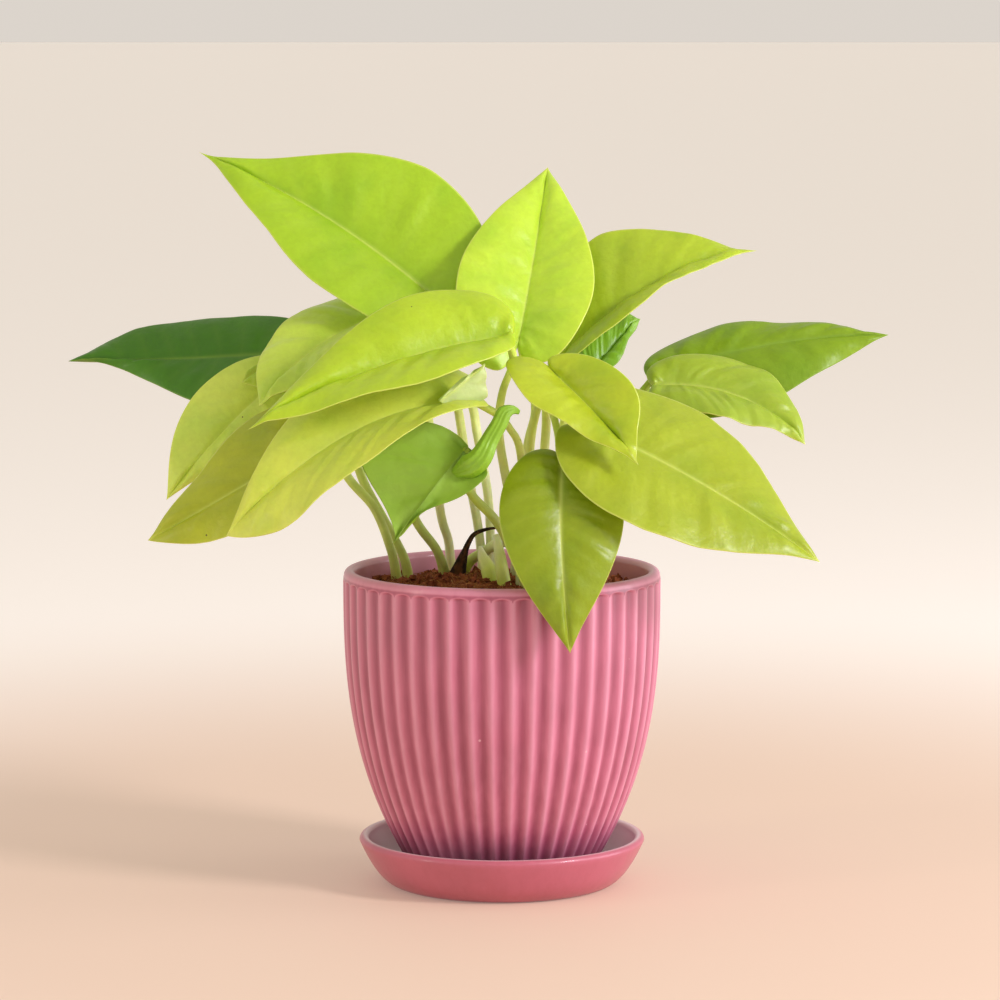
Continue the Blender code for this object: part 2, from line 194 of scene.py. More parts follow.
studio = dict(
    lamps=dict(  # place, target, width and height in metres, watts, colour
        key=((1.32, -0.82, 0.88), (0.0, 0.0, 0.12), (0.36, 0.36), 19.0, "#FBF7FF"),
        side=((1.60, 0.10, 0.35), (0.0, 0.0, 0.10), (0.8, 0.8), 9.0, "#F4F1FF"),
        window=((-1.15, -0.60, 0.42), (0.0, 0.0, 0.12), (0.18, 0.7), 2.2, "#FFF0E2"),
    ),
    room="#EBE3DA",
    roomHeights=(0.02, 0.25),  # how far up the room, from 0 level to 1 overhead, each strength holds
    roomStrength=(0.86, 0.80),
    # how strongly the floor board glows in the room's colour: painted light, since the board is no lamp
    boardPaintedGlow=0.20,
    nearFloor="#DABBA2",
    farFloor="#FBF5EE",
    fade=(0.20, 0.75),  # metres from the middle, near paint to far paint
    floorWidth=120.0,
)


def buildStudio(sizes):
    for name, (place, target, size, watts, colour) in sizes["lamps"].items():
        lamp = bpy.data.lights.new(name, "AREA")
        lamp.shape = "RECTANGLE"
        lamp.size, lamp.size_y = size
        lamp.energy = watts
        lamp.color = linear(colour)[:3]
        lampObject = bpy.data.objects.new(name, lamp)
        lampObject.location = place
        aim = Vector(target) - Vector(place)
        lampObject.rotation_euler = aim.to_track_quat("-Z", "Y").to_euler()
        bpy.context.scene.collection.objects.link(lampObject)
    room = bpy.data.worlds.new("room")
    room.use_nodes = True
    sky = room.node_tree.nodes["Background"]
    sky.inputs["Color"].default_value = linear(sizes["room"])
    facing = addNode(room.node_tree, "ShaderNodeTexCoord").outputs["Generated"]
    height = addNode(room.node_tree, "ShaderNodeSeparateXYZ", {0: facing}).outputs["Z"]
    # brighter along the foot of the walls
    strength = spread(room.node_tree, height, *sizes["roomHeights"], *sizes["roomStrength"])
    room.node_tree.links.new(strength, sky.inputs["Strength"])
    bpy.context.scene.world = room

    # painted board: matt and without a pattern, sprayed paler away from the middle, so that it runs into
    # the light of the room; it also glows faintly in the room's colour, a painted glow that lifts its
    # brightness
    board, tree, surface = newMaterial("paintedBoard", 0.7)
    away = addNode(tree, "ShaderNodeVectorMath", {0: objectPlace(tree)}, operation="LENGTH").outputs["Value"]
    sprayed = spread(tree, away, *sizes["fade"], 0.0, 1.0, "SMOOTHSTEP")
    joinSurface(tree, surface, Base_Color=blend(tree, sprayed, linear(sizes["nearFloor"]),
                                                linear(sizes["farFloor"])))
    # painted glow: the board gives off a little light of its own
    surface.inputs["Emission Color"].default_value = linear(sizes["room"])
    surface.inputs["Emission Strength"].default_value = sizes["boardPaintedGlow"]
    half = sizes["floorWidth"] / 2
    mesh = bpy.data.meshes.new("floor")
    corners = [(-half, -half, 0), (half, -half, 0), (half, half, 0), (-half, half, 0)]
    mesh.from_pydata(corners, [], [(0, 1, 2, 3)])
    mesh.materials.append(board)
    floor = bpy.data.objects.new("floor", mesh)
    bpy.context.scene.collection.objects.link(floor)


buildStudio(studio)
print("studio ready")


# Pot and saucer

pot = dict(  # millimetres
    foot=33.4,
    footRounding=1.5,
    wall=4.3,
    floor=5.5,
    floorRounding=3.0,
    drain=5.0,
    rimTuck=1.0,
    plainBand=4.5,
    bellyPower=2.72,
    flutes=48,
    fluteDepth=1.15,
    fluteTop=3.2,
    fluteArch=1.5,
    fluteColumns=(0.0, 0.12, 0.28, 0.48, 0.72, 1.0, 1.28, 1.52, 1.72, 1.88),
    wallRows=40,
    archRows=20,
    lipRows=12,
    insideRows=23,
    glaze="#C56C86",
    thinGlaze="#D88AA2",
    pooledGlazeAndShade="#A04560",
    # the foot's dark glaze, partly painted shade where the pot stands in the saucer
    footGlazeAndShade="#521C40",
    # the inside's glaze, lifted paler than the outer glaze as painted light for the inside
    insideGlazeAndPaintedLight="#CE8AA2",
)

saucer = dict(  # millimetres
    foot=39.5,
    wall=3.6,
    floor=5.0,
    columns=240,
    outsideRows=18,
    lipRows=12,
    insideRows=16,
    curve=1.85,
    glaze="#BF6074",
    pooledGlazeAndShade="#A84850",
    # the inside's own greyish mauve, lifted almost white as painted light in the shade of the pot
    insideGlazeAndPaintedLight="#EEDFE1",
)


def glazedStoneware(name, look, ribbed):
    # Stoneware dipped in a pink satin glaze and fired: a soft broad shine with a thin clear skin over it,
    # lighter where the glaze breaks thin on the crests and wine-dark where it pools in the flutes; on the
    # pot's plain band the wine-dark glaze is partly painted shade of the leaves, and at the foot it is partly
    # painted shade where the pot stands in the saucer
    material, tree, surface = newMaterial(name, 0.42, IOR=1.55, Coat_Weight=0.30, Coat_Roughness=0.12)
    place = objectPlace(tree)
    cloud = cloudy(tree, place, 45.0, 4.0, 0.6)
    # glaze runs: noise drawn out ten times in height
    drawn = addNode(tree, "ShaderNodeMapping", {0: place, "Scale": (420.0, 420.0, 42.0)}).outputs[0]
    runs = maths(tree, "SUBTRACT", cloudy(tree, drawn, 1.0, 3.0), 0.5)
    poolAndShade = maths(tree, "MULTIPLY_ADD", runs, 0.5, readField(tree, "darkGlazeShare"))
    stops = [(0.0, "glaze"), (1.0, "pooledGlazeAndShade")]
    if ribbed:
        stops = [(0.0, "thinGlaze"), (0.45, "glaze"), (1.0, "pooledGlazeAndShade")]
    body = colourRamp(tree, poolAndShade, [(position, linear(look[key])) for position, key in stops])
    if ribbed:  # darker towards the foot: the glaze lies thicker there, and the dark is also painted shade where the pot stands in the saucer
        height = addNode(tree, "ShaderNodeSeparateXYZ", {0: place}).outputs["Z"]
        uneven = maths(tree, "MULTIPLY_ADD", cloud, 0.010, height)
        low = spread(tree, uneven, 0.013, 0.036, 0.80, 0.0, "SMOOTHSTEP")
        body = blend(tree, low, body, linear(look["footGlazeAndShade"]))
    body = blend(tree, 1.0, body, spread(tree, cloud, 0.3, 0.7, 0.93, 1.06), "MULTIPLY")
    # the inside takes its own glaze colour, lifted paler as painted light where the lamps barely reach
    body = blend(tree, readField(tree, "inside"), body, linear(look["insideGlazeAndPaintedLight"]))
    # pinholes and kiln dust, 0.5 to 1 mm across and only a few on a whole pot
    distance, chosen = specks(tree, place, 130.0, 0.93)
    dust = maths(tree, "MULTIPLY", chosen, spread(tree, distance, 0.035, 0.075, 1.0, 0.0))
    body = blend(tree, maths(tree, "MULTIPLY", dust, 0.5), body, linear("#F0C4C9"))
    # orange-peel of the fired glaze, about 1.2 mm from dimple to dimple
    peel = cloudy(tree, place, 800.0, 2.0)
    joinSurface(tree, surface, Base_Color=body, Roughness=spread(tree, cloud, 0.3, 0.7, 0.38, 0.48),
                Normal=bump(tree, peel, 0.12, 0.0004))
    return material


def potOuter(height):
    # radius over the crests, in millimetres, at a height above the pot's base
    top = (potHigh.z - potLow.z) * 1000
    share = min(height / (top - pot["plainBand"]), 1.0)
    radius = pot["foot"] + (potRadius * 1000 - pot["foot"]) * (1 - (1 - share) ** pot["bellyPower"])
    above = max(height - (top - pot["plainBand"]), 0.0) / pot["plainBand"]
    return radius - pot["rimTuck"] * above ** 2


def buildPot():
    top = (potHigh.z - potLow.z) * 1000
    perFlute = len(pot["fluteColumns"])
    columns = pot["flutes"] * perFlute
    lip = pot["wall"] / 2
    fluteEnd = top - pot["fluteTop"]
    archStart = fluteEnd - pot["fluteArch"] - 1.2  # the rings are close together from here up
    # (kind, radius, height) of each ring; a rib ring takes its radius from the flutes
    rows = [("flat", pot["drain"], 0.0), ("flat", pot["foot"] - pot["footRounding"], 0.0)]
    rows += [("rib", 0.0, 0.35), ("rib", 0.0, 0.9)]
    for step in range(pot["wallRows"]):  # closer together near the foot, where the wall leans out
        share = (step + 1) / pot["wallRows"]
        rows.append(("rib", 0.0, 1.5 + (archStart - 1.5) * share ** 1.15))
    for step in range(pot["archRows"]):
        share = (step + 1) / pot["archRows"]
        rows.append(("rib", 0.0, archStart + (fluteEnd + 0.3 - archStart) * share))
    rimStart = len(rows)
    middle = potOuter(top - lip) - lip
    for step in range(pot["lipRows"] + 1):
        turn = step / pot["lipRows"] * math.pi
        rows.append(("flat", middle + lip * math.cos(turn), top - lip + lip * math.sin(turn)))
    for step in range(pot["insideRows"]):
        share = (step + 1) / pot["insideRows"]
        height = top - lip - (top - lip - pot["floor"] - pot["floorRounding"]) * share
        rows.append(("flat", potOuter(height) - pot["wall"], height))
    floorEdge = potOuter(pot["floor"]) - pot["wall"]
    rounding = pot["floorRounding"]
    rows.append(("flat", floorEdge - rounding * 0.4, pot["floor"] + rounding * 0.3))
    rows.append(("flat", floorEdge - rounding, pot["floor"]))
    rows.append(("flat", pot["drain"], pot["floor"]))
    points, darkGlazeShares, insides = [], [], []
    for index, (kind, radius, height) in enumerate(rows):
        within = smoothStep(rimStart + 2, rimStart + 7, index)
        for column in range(columns):
            # the columns stand closer together on the crests; a flute faces the front
            turned = column // perFlute + pot["fluteColumns"][column % perFlute] / 2 - 0.5
            angle = 2 * math.pi * turned / pot["flutes"]
            darkGlazeShare = 0.0
            reach = radius
            if kind == "rib":
                across = 1 - abs(pot["fluteColumns"][column % perFlute] - 1)  # 0 on a crest, 1 in mid flute
                scoop = (0.5 - 0.5 * math.cos(math.pi * across)) ** 0.8
                arch = fluteEnd - pot["fluteArch"] * (1 - math.sqrt(max(1 - (1 - across) ** 2, 0.0)))
                opened = (1 - smoothStep(arch - 0.9, arch, height)) * smoothStep(0.2, 2.5, height)
                reach = potOuter(height) - pot["fluteDepth"] * scoop * opened
                # the plain band above the flutes takes most of the dark pooled glaze: partly deeper glaze,
                # partly painted shade of the leaves over the band
                darkGlazeShare = scoop * opened + 0.8 * smoothStep(arch - 0.4, arch + 0.4, height)
            points.append(onRing(reach / 1000, angle, potLow.z + height / 1000))
            darkGlazeShares.append(darkGlazeShare)
            insides.append(within)
    glaze = glazedStoneware("pinkSatinGlaze", pot, True)
    addPiece("glazed_pot", points, ringFaces(len(rows), columns, True), glaze, ["pot"],
             dict(darkGlazeShare=darkGlazeShares, inside=insides))


def buildSaucer():
    rise = saucerHigh.z * 1000 - saucer["wall"] / 2
    outer = saucerHigh.x * 1000
    half = saucer["wall"] / 2
    # (radius, height, share inside) of each ring
    rows = [(saucer["foot"] * 0.4, 0.0, 0.0), (saucer["foot"] - 0.6, 0.0, 0.0)]
    for step in range(saucer["outsideRows"] + 1):
        share = step / saucer["outsideRows"]
        height = max(rise * share ** saucer["curve"], 0.25 if step == 0 else 0.0)
        rows.append((saucer["foot"] + (outer - saucer["foot"]) * share, height, 0.0))
    for step in range(1, saucer["lipRows"]):
        turn = step / saucer["lipRows"] * math.pi
        within = smoothStep(0.30, 0.62, step / saucer["lipRows"])
        rows.append((outer - half + half * math.cos(turn), rise + half * math.sin(turn), within))
    for step in range(saucer["insideRows"], -1, -1):
        share = step / saucer["insideRows"]
        radius = saucer["foot"] + (outer - saucer["wall"] - saucer["foot"]) * share
        rows.append((radius, saucer["floor"] + (rise - saucer["floor"]) * share ** saucer["curve"], 1.0))
    rows.append((saucer["foot"] * 0.4, saucer["floor"], 1.0))
    columns = saucer["columns"]
    points, darkGlazeShares, insides = [], [], []
    for radius, height, within in rows:
        for column in range(columns):
            points.append(onRing(radius / 1000, 2 * math.pi * column / columns, height / 1000))
            # the outside grows darker towards the bottom, with the pooled glaze colour
            darkGlazeShares.append(0.35 * (1 - smoothStep(1.0, 9.0, height)))
            insides.append(within)
    faces = ringFaces(len(rows), columns, False)
    faces.append(tuple(reversed(range(columns))))
    faces.append(tuple(range((len(rows) - 1) * columns, len(rows) * columns)))
    glaze = glazedStoneware("saucerSatinGlaze", saucer, False)
    addPiece("glazed_saucer", points, faces, glaze, ["saucer"],
             dict(darkGlazeShare=darkGlazeShares, inside=insides))


buildPot()
buildSaucer()
print("pot and saucer turned")


# Potting mix

mix = dict(  # millimetres
    mound=5.0,
    spread=30.0,
    middle=(-8.0, -2.0),
    lump=2.6,
    crumb=1.0,
    rings=90,
    columns=220,
    clear=0.8,
    crumbs=1500,
    crumbSize=(0.4, 2.2),
    fibres=420,
    fibreLength=(4.0, 12.0),
    fibreRadius=0.11,
    fibreSteps=7,
    fibreArc=1.6,
    seed=11,
    dark="#4A2416",
    brown="#98543A",
    pale="#C88A62",
)

husk = dict(dark="#7A4426", brown="#B57C50", pale="#D8AC7C")

mixHeight = (potHigh.z - potLow.z - soilBelowRim) * 1000  # millimetres above the pot's base


def coir(name, look):
    # Coir pith, shredded from coconut husk and pressed: rough, dry and light-drinking, brown with rust
    # in its high crumbs and nearly black between them
    material, tree, surface = newMaterial(name, 0.95, IOR=1.4, Specular_IOR_Level=0.25)
    place = objectPlace(tree)
    stops = [(0.30, linear(look["dark"])), (0.52, linear(look["brown"])), (0.75, linear(look["pale"]))]
    relief = bump(tree, cloudy(tree, place, 1400.0, 4.0, 0.7), 0.8, 0.0006)
    joinSurface(tree, surface, Base_Color=colourRamp(tree, cloudy(tree, place, 260.0, 6.0, 0.7), stops),
                Normal=relief)
    return material


def soilTop(x, y):
    # height of the mix's surface in metres, without its lumps
    away = math.hypot(x * 1000 - mix["middle"][0], y * 1000 - mix["middle"][1]) / mix["spread"]
    return soilLevel + mix["mound"] / 1000 * math.exp(-away * away)


def soilSurface(x, y):
    lump = noise.noise(Vector((x, y, 0.3)) * 170) * mix["lump"]
    lump += noise.noise(Vector((x, y, 1.7)) * 420) * mix["lump"] * 0.5
    lump += abs(noise.noise(Vector((x, y, 3.1)) * 900)) * mix["crumb"]
    lump += noise.noise(Vector((x, y, 4.4)) * 1900) * mix["crumb"] * 0.4
    return soilTop(x, y) + lump / 1000


def buildMix(pith, edge):
    floorRadius = potOuter(pot["floor"]) - pot["wall"] - 2 * pot["floorRounding"]
    rows = [(floorRadius / 1000, potLow.z + (pot["floor"] + 0.3) / 1000)]
    for share in (0.12, 0.25, 0.42, 0.65, 0.92):
        height = mixHeight * share
        rows.append(((potOuter(height) - pot["wall"] - mix["clear"]) / 1000, potLow.z + height / 1000))
    columns = mix["columns"]
    angles = [2 * math.pi * column / columns for column in range(columns)]
    points = [onRing(radius, angle, height) for radius, height in rows for angle in angles]
    for ring in range(mix["rings"]):
        for angle in angles:
            x, y, _ = onRing(edge * (1 - ring / mix["rings"]), angle, 0.0)
            points.append((x, y, soilSurface(x, y)))
    faces = ringFaces(len(rows) + mix["rings"], columns, False)
    faces.append(tuple(reversed(range(columns))))
    faces.append(tuple(range(len(points) - columns, len(points))))
    addPiece("potting_mix", points, faces, pith, ["soil"])


def scatterCrumbs(pith, edge, chance):
    points, faces = [], []
    # the six corners of a crumb, in opposite pairs
    corners = [Vector(p) for p in ((1, 0, 0), (-1, 0, 0), (0, 1, 0), (0, -1, 0), (0, 0, 1), (0, 0, -1))]
    smallest, largest = mix["crumbSize"]
    for _ in range(mix["crumbs"]):
        away = edge * 0.97 * math.sqrt(chance.random())
        angle = chance.uniform(0, 2 * math.pi)
        size = (smallest + (largest - smallest) * chance.random() ** 2.5) / 1000  # mostly small ones
        x, y, _ = onRing(away, angle, 0.0)
        middle = Vector((x, y, soilSurface(x, y) + size * 0.25))
        lie = Quaternion([chance.uniform(-1, 1) for _ in range(3)] + [chance.random()])
        lie.normalize()
        first = len(points)
        stretch = Vector((chance.uniform(0.6, 1.5), chance.uniform(0.6, 1.1), chance.uniform(0.5, 0.9)))
        for corner in corners:
            points.append(middle + lie @ (corner * stretch * size * chance.uniform(0.75, 1.2)))
        for a, b, c in itertools.product((0, 1), (2, 3), (4, 5)):
            face = (first + a, first + b, first + c)
            faces.append(face if (a + b + c) % 2 == 0 else face[::-1])
    addPiece("coir_crumbs", points, faces, pith, smooth=False)


def scatterFibres(edge, chance):
    points, faces = [], []
    steps = mix["fibreSteps"]
    for _ in range(mix["fibres"]):
        away = edge * 0.9 * math.sqrt(chance.random())
        angle = chance.uniform(0, 2 * math.pi)
        length = chance.uniform(*mix["fibreLength"]) / 1000
        heading = chance.uniform(0, 2 * math.pi)
        bend = chance.uniform(-2.2, 2.2)
        arc = chance.uniform(0.0, mix["fibreArc"]) / 1000
        x, y, _ = onRing(away, angle, 0.0)
        route = []
        for step in range(steps + 1):
            if math.hypot(x, y) > edge - 0.0006:  # it stops short of the pot's wall
                break
            arch = arc * math.sin(step / steps * math.pi)
            route.append(Vector((x, y, soilSurface(x, y) + 0.0002 + arch)))
            x += math.cos(heading) * length / steps
            y += math.sin(heading) * length / steps
            heading += bend / steps
        if len(route) > 3:
            addHair(points, faces, route, mix["fibreRadius"] / 1000)
    addPiece("coir_fibres", points, faces, coir("coirFibre", husk))


def addHair(points, faces, route, radius):
    # a thin closed thread along a route, added to a mesh in the making
    first = len(points)
    for index, place in enumerate(route):
        along = (route[min(index + 1, len(route) - 1)] - route[max(index - 1, 0)]).normalized()
        sideways = along.orthogonal().normalized()
        upwards = along.cross(sideways)
        for side in range(4):
            angle = side * math.pi / 2
            points.append(place + (sideways * math.cos(angle) + upwards * math.sin(angle)) * radius)
    faces += [tuple(first + corner for corner in face) for face in ringFaces(len(route), 4, False)]
    last = len(points) - 4
    faces += [(first + 3, first + 2, first + 1, first), (last, last + 1, last + 2, last + 3)]


coirPith = coir("coirPith", mix)
mixEdge = (potOuter(mixHeight) - pot["wall"] - mix["clear"]) / 1000
mixChance = random.Random(mix["seed"])
buildMix(coirPith, mixEdge)
scatterCrumbs(coirPith, mixEdge, mixChance)
scatterFibres(mixEdge, mixChance)
print("potting mix heaped")


# Leaves

# Each blade's places are in millimetres from the middle of the soil: where the stalk joins, the middle
# of the midrib, the tip, and the widest places of the left and right edges, seen from above with the
# tip ahead. tint is the pigment, on the large right blade darkened as painted shade of the blades above
# it; bulge how far each half is puffed up, wave how far the margin sways, quilt how deep the side veins
# draw the blade in. lobes are how far the left and right halves reach back behind the joint, wide where
# the blade is widest and twist its turn there in degrees; full and sharp round and point the left and
# right edges towards the tip.
blades = {
    "top_left": dict(
        points=((-25, 2, 108), (-67, 14, 138), (-112, 26, 160), (-62, -12, 110), (-25, 20, 153)),
        full=(2.1, 1.7), sharp=(1.5, 2.0), tint="#A2C422", quilt=0.30,
    ),
    "top_centre": dict(
        points=((6, -16, 93), (12, 8, 124), (17, 36, 154), (-16, -8, 118), (33, -10, 111)),
        lobes=(0.18, 0.10), tint="#BEDD3A", quilt=0.34,
    ),
    "top_right": dict(
        points=((24, 10, 87), (58, 12, 113), (94, 18, 124), (36, 26, 129), (40, -6, 98)),
        full=(1.4, 1.8), sharp=(1.5, 1.15), tint="#AEC42C", quilt=0.30,
    ),
    "dark_left": dict(
        points=((-79, 36, 85), (-126, 40, 82), (-163, 44, 81), (-108, 24, 66), (-102, 52, 97)),
        full=(1.5, 3.2), sharp=(3.1, 1.2), tint="#427A02", quilt=0.38,
    ),
    "dark_back": dict(
        points=((31, 30, 75), (41, 36, 86), (52, 44, 97), (34, 44, 98), (39, 26, 77)), tint="#7DAD28",
    ),
    "dark_right": dict(
        points=((55, 22, 77), (97, 28, 88), (144, 30, 92), (79, 38, 94), (86, 12, 64)),
        lobes=(0.02, 0.02), tint="#7E9E10", quilt=0.38,
    ),
    "pale_left": dict(
        points=((-78, 12, 80), (-100, 0, 61), (-122, -12, 35), (-77, 4, 63), (-111, 4, 74)), tint="#CDE05E",
    ),
    "small_left": dict(
        points=((-37, 9, 103), (-65, -12, 92), (-87, -30, 71), (-50, -24, 91), (-70, 9, 104)),
        lobes=(0.04, 0.04), full=(1.8, 2.6), tint="#C0D84C",
    ),
    "hidden_left": dict(
        points=((-63, 16, 93), (-80, 8, 86), (-95, -2, 77), (-74, 2, 76), (-78, 14, 89)), tint="#A9C53C",
    ),
    "front_left": dict(
        points=((3, -34, 96), (-42, -50, 87), (-89, -66, 66), (-22, -68, 85), (-28, -30, 112)),
        lobes=(0.02, 0.02), sharp=(1.15, 1.5), tint="#AFC926", bulge=2.6,
    ),
    "low_left": dict(
        points=((-37, -24, 78), (-82, -34, 49), (-127, -34, 23), (-66, -46, 43), (-88, -14, 67)),
        wide=0.45, full=(3.0, 1.5), sharp=(1.0, 1.1), twist=-20, tint="#ABB425",
    ),
    "low_front": dict(
        points=((-8, -44, 74), (-53, -57, 64), (-97, -61, 28), (-42, -75, 60), (-39, -33, 89)),
        lobes=(0.05, 0.02), full=(3.4, 2.0), sharp=(1.0, 1.2), twist=-45, tint="#CAD650",
    ),
    "curled_young": dict(
        points=((-12, -50, 58), (-25, -58, 43), (-39, -57, 24), (-49, -52, 58), (-6, -62, 48)),
        lobes=(0.05, 0.0), wide=(0.50, 0.12), full=(2.2, 1.6), sharp=(2.8, 2.8), tint="#8EBC08", veins=8,
    ),
    "centre": dict(
        points=((18, -38, 84), (34, -48, 69), (48, -60, 53), (45, -48, 82), (9, -54, 76)),
        lobes=(0.12, 0.22), sharp=(1.6, 1.15), tint="#B0C026", veins=9,
    ),
    # its tint is its lime green darkened as painted shade of the blades above it
    "large_right": dict(
        points=((32, -40, 64), (72, -44, 44), (113, -48, 17), (72, -18, 68), (42, -66, 34)),
        lobes=(0.20, 0.14), wide=0.24, full=(1.5, 1.9), tint="#A0AF24", quilt=0.30,
    ),
    "front_hanging": dict(
        points=((21, -46, 52), (21, -63, 23), (24, -66, -13), (43, -56, 34), (-1, -58, 36)),
        wide=0.25, tint="#8A9D10",
    ),
    "small_right": dict(
        points=((56, 8, 75), (87, 6, 71), (111, 0, 54), (89, 18, 83), (79, -8, 65)),
        lobes=(0.02, 0.02), wide=0.50, full=(2.4, 1.8), tint="#9BB230", quilt=0.30,
    ),
}

darkBlades = ("dark_left", "dark_back", "dark_right", "curled_young")

bladeForm = dict(  # the make of every blade; lengths in millimetres
    thickness=0.6,
    notchEnd=0.18,
    lobeEnd=0.55,
    lobeWidth=0.25,
    veinStart=0.12,
    veinLean=1.3,
    rowsPerVein=7,
    across=(0.018, 0.04, 0.07, 0.11, 0.17, 0.24, 0.32, 0.41, 0.50, 0.59, 0.68, 0.76, 0.84, 0.90, 0.95,
            0.98, 1.0),
    channelDepth=0.22,
    unevenness=0.6,
    ripple=0.9,
    channelWidth=1.0,
    keelHeight=0.8,
    keelWidth=0.8,
)


def waxyLeaf(name, look, dark):
    # Living leaf under a thin wax skin: light soaks in and comes out yellower, so the blade glows where it
    # is lit from behind; the wax gives a broad soft shine that the veins break up
    material, tree, surface = newMaterial(name, 0.40, IOR=1.45, Coat_Weight=0.20, Coat_Roughness=0.30,
                                          Specular_IOR_Level=0.4, Subsurface_Weight=0.10 if dark else 0.30,
                                          Subsurface_Scale=0.0016, Subsurface_Radius=(0.7, 1.0, 0.15))
    tint = linear(look["tint"])
    lighter = tuple(min(c * 1.12, 1.0) for c in tint[:3]) + (1.0,)
    deeper = (tint[0] * 0.82, tint[1] * 0.90, tint[2] * 0.8, 1.0)
    pale = linear("#86A83C" if dark else "#DCE97A")
    place = objectPlace(tree)
    under = readField(tree, "under")
    # soft patches about 20 mm across, then a grain of about 2 mm
    patches = cloudy(tree, place, 50.0, 3.0)
    colour = colourRamp(tree, patches, [(0.25, deeper), (0.50, tint), (0.80, lighter)])
    grain = cloudy(tree, place, 480.0, 3.0, 0.6)
    colour = blend(tree, 1.0, colour, spread(tree, grain, 0.3, 0.7, 0.95, 1.04), "MULTIPLY")
    for key, strength in (("vein", 0.06 if dark else 0.03), ("midrib", 0.45), ("margin", 0.6)):
        colour = blend(tree, maths(tree, "MULTIPLY", readField(tree, key), strength), colour, pale)
    beneath = maths(tree, "MULTIPLY", under, 0.42)
    colour = blend(tree, beneath, colour, linear("#93AC58" if dark else "#C6D572"))
    # a few brown pinpricks, about 0.6 mm across
    distance, chosen = specks(tree, place, 95.0, 0.90)
    prick = maths(tree, "MULTIPLY", chosen, maths(tree, "LESS_THAN", distance, 0.030))
    colour = blend(tree, prick, colour, linear("#4A3A12"))
    shine = spread(tree, grain, 0.3, 0.7, 0.34, 0.46)
    # cell grain of about 0.5 mm over ripples of about 4 mm
    ripples = bump(tree, cloudy(tree, place, 240.0, 3.0), 0.35, 0.0012)
    cells = cloudy(tree, place, 1900.0, 2.0)
    joinSurface(tree, surface, Base_Color=colour, Roughness=maths(tree, "MULTIPLY_ADD", under, 0.2, shine),
                Normal=bump(tree, cells, 0.10, 0.0003, Normal=ripples))
    return material


def plantPoint(place):
    x, y, z = place
    return Vector((x, y, z)) / 1000 + Vector((0, 0, soilLevel))


def halfOutline(step, lobe, wide, full, sharp):
    # an edge point along and across the midrib, as shares of the blade's length and of its half width
    form = bladeForm
    if step < form["notchEnd"]:
        turn = step / form["notchEnd"] * math.pi / 2
        return -lobe * math.sin(turn), form["lobeWidth"] * (1 - math.cos(turn))
    if step < form["lobeEnd"]:
        turn = (step - form["notchEnd"]) / (form["lobeEnd"] - form["notchEnd"]) * math.pi / 2
        reach = form["lobeWidth"] + (1 - form["lobeWidth"]) * math.sin(turn)
        return wide - (wide + lobe) * math.cos(turn), reach
    share = (step - form["lobeEnd"]) / (1 - form["lobeEnd"])
    return wide + (1 - wide) * share, max(1 - share ** full, 0.0) ** sharp


class Sheet:
    # the surface that a blade follows: a bent midrib with a half blade on each side

    def __init__(self, look):
        self.base, self.middle, self.tip, left, right = [plantPoint(place) for place in look["points"]]
        self.lobes = look.get("lobes", (0.10, 0.10))
        wide = look.get("wide", 0.30)  # one place for both halves, or one for each
        self.wide = wide if isinstance(wide, tuple) else (wide, wide)
        self.full = look.get("full", (1.8, 1.8))
        self.sharp = look.get("sharp", (1.15, 1.15))
        self.twist = math.radians(look.get("twist", 0.0))
        self.sides = (left - self.midrib(self.wide[0]), right - self.midrib(self.wide[1]))

    def midrib(self, x):
        return (self.base * (2 * (x - 0.5) * (x - 1)) + self.middle * (4 * x * (1 - x))
                + self.tip * (2 * x * (x - 0.5)))

    def along(self, x):
        slope = self.base * (4 * x - 3) + self.middle * (4 - 8 * x) + self.tip * (4 * x - 1)
        return slope.normalized()

    def point(self, step, across, side):
        # the place on the sheet, and its distance from the midrib
        start = bladeForm["veinStart"]
        wide = self.wide[side]
        edgeX, edgeY = halfOutline(step, self.lobes[side], wide, self.full[side], self.sharp[side])
        ribX = start * step + (1 - start) * step ** 3
        x = ribX + (edgeX - ribX) * across ** bladeForm["veinLean"]
        along = self.along(x)
        turn = Quaternion(along, self.twist * (x - wide)) @ self.along(wide).rotation_difference(along)
        outward = turn @ self.sides[side] * (edgeY * across)
        return self.midrib(x) + outward, outward.length


def stepAt(share):
    # the outline step whose vein leaves the midrib so far along, with the veins evenly spread
    start = bladeForm["veinStart"]
    target = share ** (1 / 0.6)
    low, high = 0.0, 1.0
    for _ in range(40):
        middle = (low + high) / 2
        if start * middle + (1 - start) * middle ** 3 < target:
            low = middle
        else:
            high = middle
    return (low + high) / 2


